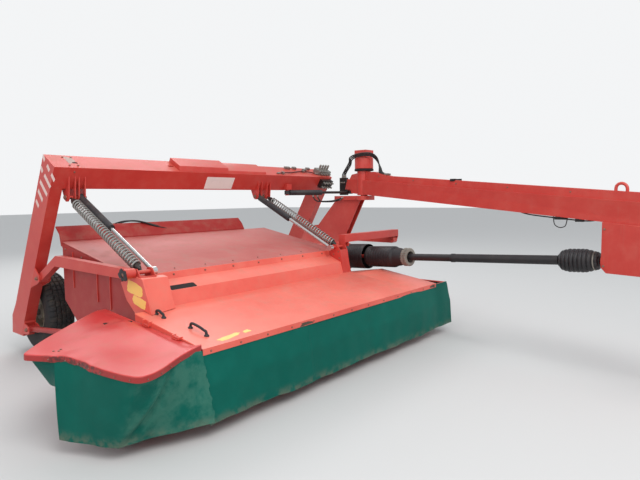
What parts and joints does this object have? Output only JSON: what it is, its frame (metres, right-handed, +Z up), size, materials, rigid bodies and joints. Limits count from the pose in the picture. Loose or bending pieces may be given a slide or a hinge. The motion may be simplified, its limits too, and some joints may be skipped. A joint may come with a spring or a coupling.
{
  "type": "disc mower conditioner",
  "caption": "Trailed side-pull disc mower conditioner on a two-wheel leaning portal, with a swinging drawbar, cloth guards and a parking stand.",
  "frame": {"origin": "on the ground under the centre of the machine's outline", "axes": "+X to the machine's left, +Y to its rear, +Z up; the drawbar reaches to the front, -Y"},
  "size_m": [4.4203, 5.7262, 2.029],
  "materials": {
    "red_paint": "satin red paint, dusty",
    "faded_paint": "sun-faded red paint, dusty",
    "curtain_cloth": "coated teal cloth",
    "tyre": "worn black",
    "rim_steel": "dull pale paint",
    "steel": "dull",
    "black_paint": "satin black",
    "black_plastic": "matte black",
    "worn_steel": "dark worn steel"
  },
  "bodies": {
    "frame": {"portal_beam": "red_paint", "beam_cap": "red_paint", "leg_left": "red_paint", "leg_right": "red_paint", "stub_axles": "steel", "hangers": "red_paint", "pivot_console": "red_paint", "pivot_post": "red_paint", "valve_block": "steel", "spring_left": "steel", "spring_right": "steel"},
    "wheel_left": {"tyre_left": "tyre", "rim_left": "rim_steel"},
    "wheel_right": {"tyre_right": "tyre", "rim_right": "rim_steel"},
    "upper_arms": {"upper_links": "red_paint"},
    "lower_arms": {"lower_links": "red_paint"},
    "header": {"canopy": "faded_paint", "hood": "faded_paint", "rear_rail": "red_paint", "header_frame": "red_paint", "lift_brackets": "red_paint", "swath_plates": "red_paint", "cutterbar": "red_paint", "gearbox": "red_paint", "pto_shield": "black_plastic", "curtain_rail": "red_paint", "front_curtain": "curtain_cloth", "end_curtain": "curtain_cloth"},
    "cover": {"side_cover": "faded_paint", "side_curtain": "curtain_cloth"},
    "rotor": {"conditioner": "worn_steel"},
    "drawbar": {"drawbar": "red_paint", "drawbar_boss": "red_paint", "pto_housing": "red_paint", "stand_tube": "red_paint"},
    "hitch": {"hitch_yoke": "red_paint"},
    "stand": {"stand_leg": "steel"},
    "shaft_cross": {"pto_cross": "steel"},
    "shaft_rear": {"pto_tube": "black_plastic"},
    "shaft_front": {"pto_slider": "steel"},
    "shaft_end": {"pto_joint": "black_plastic"},
    "lift_barrel_left": {"barrel_left": "black_paint"},
    "lift_barrel_right": {"barrel_right": "black_paint"},
    "lift_rod_left": {"rod_left": "steel"},
    "lift_rod_right": {"rod_right": "steel"},
    "swing_barrel": {"swing_barrel": "black_paint"},
    "swing_rod": {"swing_rod": "steel"},
    "disc_1": {"disc_1": "steel"},
    "disc_2": {"disc_2": "steel"},
    "disc_3": {"disc_3": "steel"},
    "disc_4": {"disc_4": "steel"},
    "disc_5": {"disc_5": "steel"},
    "disc_6": {"disc_6": "steel"},
    "disc_7": {"disc_7": "steel"},
    "disc_8": {"disc_8": "steel"},
    "disc_9": {"disc_9": "steel"}
  },
  "joints": [
    {"name": "wheel_left_spin", "type": "hinge", "parent": "frame", "child": "wheel_left", "pos_m": [-1.195, 2.48314, 0.38], "axis": [1, 0, 0], "continuous": true},
    {"name": "wheel_right_spin", "type": "hinge", "parent": "frame", "child": "wheel_right", "pos_m": [1.905, 2.48314, 0.38], "axis": [1, 0, 0], "continuous": true},
    {"name": "header_lift", "type": "hinge", "parent": "frame", "child": "upper_arms", "pos_m": [-1.42, 2.04074, 0.765], "axis": [-1, 0, 0], "range_deg": [0, 12], "deforming": ["spring_left", "spring_right"]},
    {"name": "header_level", "type": "hinge", "parent": "upper_arms", "child": "header", "pos_m": [-1.42, 0.60074, 0.925], "axis": [-1, 0, 0], "range_deg": [-12, 0]},
    {"name": "lower_arm_swing", "type": "hinge", "parent": "frame", "child": "lower_arms", "pos_m": [-1.42, 2.33074, 0.262], "axis": [-1, 0, 0], "range_deg": [0, 12]},
    {"name": "lift_barrel_left_tilt", "type": "hinge", "parent": "frame", "child": "lift_barrel_left", "pos_m": [-1.195, 1.67946, 1.47], "axis": [-1, 0, 0], "range_deg": [0, 13.2]},
    {"name": "lift_rod_left_stroke", "type": "slide", "parent": "lift_barrel_left", "child": "lift_rod_left", "axis": [0, 0.8926, 0.4509], "range_m": [0, 0.1664]},
    {"name": "lift_barrel_right_tilt", "type": "hinge", "parent": "frame", "child": "lift_barrel_right", "pos_m": [0.88, 1.67946, 1.47], "axis": [-1, 0, 0], "range_deg": [0, 13.2]},
    {"name": "lift_rod_right_stroke", "type": "slide", "parent": "lift_barrel_right", "child": "lift_rod_right", "axis": [0, 0.8926, 0.4509], "range_m": [0, 0.1664]},
    {"name": "drawbar_swing", "type": "hinge", "parent": "frame", "child": "drawbar", "pos_m": [2.08, 1.01074, 1.5], "axis": [0, 0, 1], "range_deg": [-10, 26]},
    {"name": "swing_barrel_turn", "type": "hinge", "parent": "frame", "child": "swing_barrel", "pos_m": [1.34, 1.64074, 1.512], "axis": [0, 0, 1], "range_deg": [-2.7, 1.1]},
    {"name": "swing_rod_stroke", "type": "slide", "parent": "swing_barrel", "child": "swing_rod", "axis": [0.9145, -0.4047, 0], "range_m": [-0.1209, 0.0477]},
    {"name": "shaft_yaw", "type": "hinge", "parent": "header", "child": "shaft_cross", "pos_m": [1.58, 0.52074, 0.775], "axis": [0, 0, 1], "range_deg": [-11.94, 30.89]},
    {"name": "shaft_pitch", "type": "hinge", "parent": "shaft_cross", "child": "shaft_rear", "pos_m": [1.58, 0.52074, 0.775], "axis": [0.9936, -0.1132, 0], "range_deg": [0, 7.03]},
    {"name": "shaft_telescope", "type": "slide", "parent": "shaft_rear", "child": "shaft_front", "axis": [-0.113, -0.9919, 0.0577], "range_m": [-0.0912, 0.234]},
    {"name": "shaft_end_reach", "type": "slide", "parent": "shaft_front", "child": "shaft_end", "axis": [-0.113, -0.9919, 0.0577], "range_m": [0, 0.0673]},
    {"name": "hitch_swivel", "type": "hinge", "parent": "drawbar", "child": "hitch", "pos_m": [1.08355, -2.70808, 1.32994], "axis": [0, 0, 1], "range_deg": [-40, 40]},
    {"name": "stand_slide", "type": "slide", "parent": "drawbar", "child": "stand", "axis": [0, 0, 1], "range_m": [0, 0.4]},
    {"name": "side_cover_fold", "type": "hinge", "parent": "header", "child": "cover", "pos_m": [-1.434, -0.04115, 0.57713], "axis": [0, 0.9962, 0.0872], "range_deg": [0, 90]},
    {"name": "conditioner_spin", "type": "hinge", "parent": "header", "child": "rotor", "pos_m": [0.01, 0.75074, 0.43], "axis": [1, 0, 0], "continuous": true},
    {"name": "disc_1_spin", "type": "hinge", "parent": "header", "child": "disc_1", "pos_m": [-1.66, 0.16074, 0.1], "axis": [0, 0, 1], "continuous": true},
    {"name": "disc_2_spin", "type": "hinge", "parent": "header", "child": "disc_2", "pos_m": [-1.27, 0.16074, 0.1], "axis": [0, 0, 1], "continuous": true},
    {"name": "disc_3_spin", "type": "hinge", "parent": "header", "child": "disc_3", "pos_m": [-0.88, 0.16074, 0.1], "axis": [0, 0, 1], "continuous": true},
    {"name": "disc_4_spin", "type": "hinge", "parent": "header", "child": "disc_4", "pos_m": [-0.49, 0.16074, 0.1], "axis": [0, 0, 1], "continuous": true},
    {"name": "disc_5_spin", "type": "hinge", "parent": "header", "child": "disc_5", "pos_m": [-0.1, 0.16074, 0.1], "axis": [0, 0, 1], "continuous": true},
    {"name": "disc_6_spin", "type": "hinge", "parent": "header", "child": "disc_6", "pos_m": [0.29, 0.16074, 0.1], "axis": [0, 0, 1], "continuous": true},
    {"name": "disc_7_spin", "type": "hinge", "parent": "header", "child": "disc_7", "pos_m": [0.68, 0.16074, 0.1], "axis": [0, 0, 1], "continuous": true},
    {"name": "disc_8_spin", "type": "hinge", "parent": "header", "child": "disc_8", "pos_m": [1.07, 0.16074, 0.1], "axis": [0, 0, 1], "continuous": true},
    {"name": "disc_9_spin", "type": "hinge", "parent": "header", "child": "disc_9", "pos_m": [1.46, 0.16074, 0.1], "axis": [0, 0, 1], "continuous": true}
  ],
  "couplings": [
    {"joint": "header_level", "follows": "header_lift", "ratio": -1},
    {"joint": "lower_arm_swing", "follows": "header_lift", "ratio": 1},
    {"joint": "lift_barrel_left_tilt", "follows": "header_lift", "ratio": 1.0835},
    {"joint": "lift_rod_left_stroke", "follows": "header_lift", "m_per_rad": 0.78515},
    {"joint": "lift_barrel_right_tilt", "follows": "header_lift", "ratio": 1.0835},
    {"joint": "lift_rod_right_stroke", "follows": "header_lift", "m_per_rad": 0.78515},
    {"joint": "swing_barrel_turn", "follows": "drawbar_swing", "ratio": -0.1},
    {"joint": "swing_rod_stroke", "follows": "drawbar_swing", "m_per_rad": -0.262},
    {"joint": "shaft_yaw", "follows": "drawbar_swing", "ratio": 1.1844},
    {"joint": "shaft_pitch", "follows": "header_lift", "ratio": 0.57773},
    {"joint": "shaft_telescope", "follows": "drawbar_swing", "m_per_rad": 0.51123},
    {"joint": "shaft_end_reach", "follows": "header_lift", "m_per_rad": 0.3117},
    {"joint": "disc_1_spin", "follows": "conditioner_spin", "ratio": 3},
    {"joint": "disc_2_spin", "follows": "conditioner_spin", "ratio": -3},
    {"joint": "disc_3_spin", "follows": "conditioner_spin", "ratio": 3},
    {"joint": "disc_4_spin", "follows": "conditioner_spin", "ratio": -3},
    {"joint": "disc_5_spin", "follows": "conditioner_spin", "ratio": 3},
    {"joint": "disc_6_spin", "follows": "conditioner_spin", "ratio": -3},
    {"joint": "disc_7_spin", "follows": "conditioner_spin", "ratio": 3},
    {"joint": "disc_8_spin", "follows": "conditioner_spin", "ratio": -3},
    {"joint": "disc_9_spin", "follows": "conditioner_spin", "ratio": 3}
  ]
}
